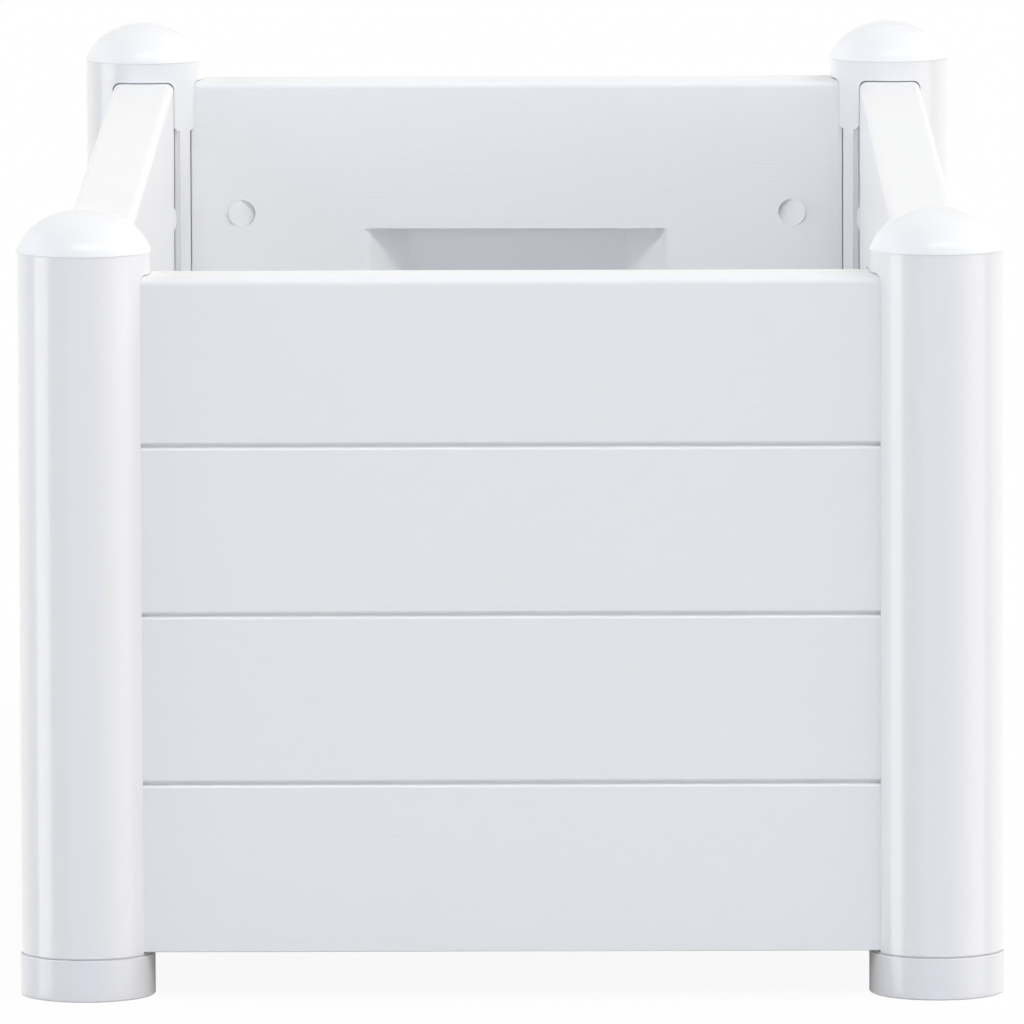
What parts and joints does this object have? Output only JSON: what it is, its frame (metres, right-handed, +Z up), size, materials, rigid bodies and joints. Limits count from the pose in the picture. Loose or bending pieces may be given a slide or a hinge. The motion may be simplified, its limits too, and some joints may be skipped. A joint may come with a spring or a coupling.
{
  "type": "raised garden bed",
  "caption": "Long white plastic raised garden bed with round domed corner posts, plank-look panels, round feet and a drained floor.",
  "frame": {"origin": "on the ground, under the middle of the bed", "axes": "+Z up, +Y along the long side, +X across the short side"},
  "size_m": [0.43, 1, 0.3445],
  "materials": {
    "white_plastic": "moulded polypropylene with a fine wood-grain texture on the panels and a satin surface on posts, caps and feet",
    "floor_plastic": "plain moulded polypropylene"
  },
  "bodies": {
    "root": {"post_front_left": "white_plastic", "post_front_right": "white_plastic", "post_rear_left": "white_plastic", "post_rear_right": "white_plastic", "cap_front_left": "white_plastic", "cap_front_right": "white_plastic", "cap_rear_left": "white_plastic", "cap_rear_right": "white_plastic", "foot_front_left": "white_plastic", "foot_front_right": "white_plastic", "foot_rear_left": "white_plastic", "foot_rear_right": "white_plastic", "end_panel_front": "white_plastic", "end_panel_rear": "white_plastic", "side_panel_left": "white_plastic", "side_panel_right": "white_plastic", "floor_plate_front": "floor_plastic", "floor_plate_rear": "floor_plastic", "floor_joist": "floor_plastic"}
  },
  "joints": []
}
